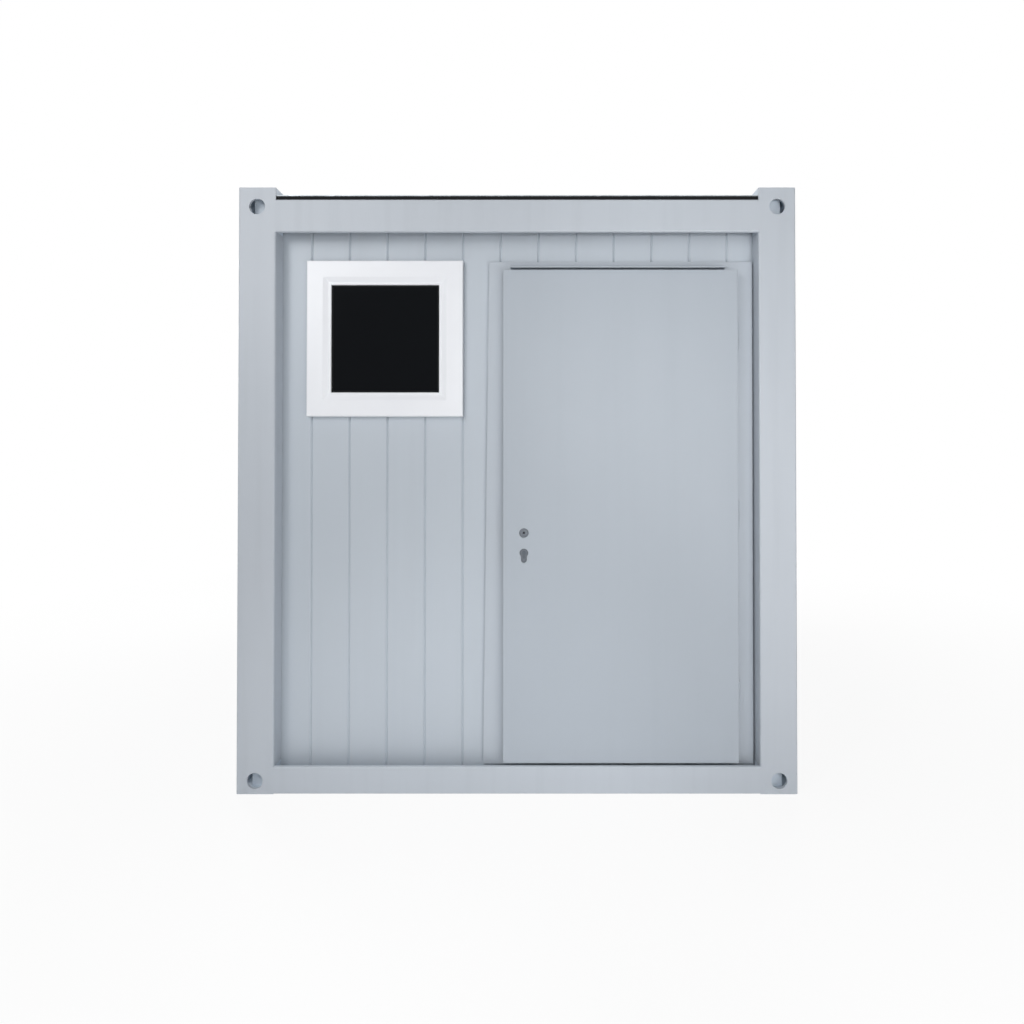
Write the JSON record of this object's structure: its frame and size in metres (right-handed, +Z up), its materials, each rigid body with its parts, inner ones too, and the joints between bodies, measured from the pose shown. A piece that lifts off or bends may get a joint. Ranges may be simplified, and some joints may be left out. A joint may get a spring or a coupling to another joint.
{
  "type": "sanitary container",
  "caption": "Steel-framed sanitary cabin with grooved wall panels, an outward-opening door with lock holes, a small white window and round holes in its corner blocks.",
  "frame": {"origin": "on the ground, below the middle of the footprint", "axes": "+Z up, -Y towards the front with the door, +X to the right seen from the front"},
  "size_m": [2.4, 3, 2.6],
  "materials": {
    "frame_paint": "satin",
    "wall_paint": "satin",
    "door_paint": "satin",
    "door_frame_paint": "satin",
    "threshold_aluminium": "satin",
    "galvanised_sheet": "satin",
    "floor_covering": "matte",
    "ceiling_white": "satin",
    "black_rubber": "matte",
    "lock_steel": "satin",
    "lock_nickel": "satin",
    "window_plastic": "satin",
    "tinted_glass": "gloss"
  },
  "bodies": {
    "shell": {"post_front_left": "frame_paint", "post_front_right": "frame_paint", "post_rear_left": "frame_paint", "post_rear_right": "frame_paint", "base_corner_front_left": "frame_paint", "base_corner_front_right": "frame_paint", "base_corner_rear_left": "frame_paint", "base_corner_rear_right": "frame_paint", "roof_corner_front_left": "frame_paint", "roof_corner_front_right": "frame_paint", "roof_corner_rear_left": "frame_paint", "roof_corner_rear_right": "frame_paint", "base_beam_front": "frame_paint", "base_beam_rear": "frame_paint", "base_beam_left": "frame_paint", "base_beam_right": "frame_paint", "roof_beam_front": "frame_paint", "roof_beam_rear": "frame_paint", "roof_beam_left": "frame_paint", "roof_beam_right": "frame_paint", "front_wall_left": "wall_paint", "front_wall_right": "wall_paint", "front_wall_over_door": "wall_paint", "left_wall": "wall_paint", "right_wall": "wall_paint", "rear_wall": "wall_paint", "floor_joists": "galvanised_sheet", "floor_deck": "floor_covering", "ceiling_panel": "ceiling_white", "roof_seal": "black_rubber", "roof_sheet": "galvanised_sheet", "door_jamb_lock_side": "door_frame_paint", "door_jamb_hinge_side": "door_frame_paint", "door_head": "door_frame_paint", "door_threshold": "threshold_aluminium", "door_rain_strip": "door_paint", "frame_hinge_halves": "door_frame_paint", "window_frame": "window_plastic", "window_sash": "window_plastic", "window_pane_seal": "black_rubber", "window_pane": "tinted_glass"},
    "door": {"door_leaf": "door_paint", "leaf_hinge_halves": "door_frame_paint", "lock_case": "lock_steel", "lock_cylinder": "lock_nickel"}
  },
  "joints": [
    {"name": "door_hinge", "type": "hinge", "parent": "shell", "child": "door", "pos_m": [0.964, -1.44, 1.186], "axis": [0, 0, 1], "range_deg": [0, 100]}
  ]
}
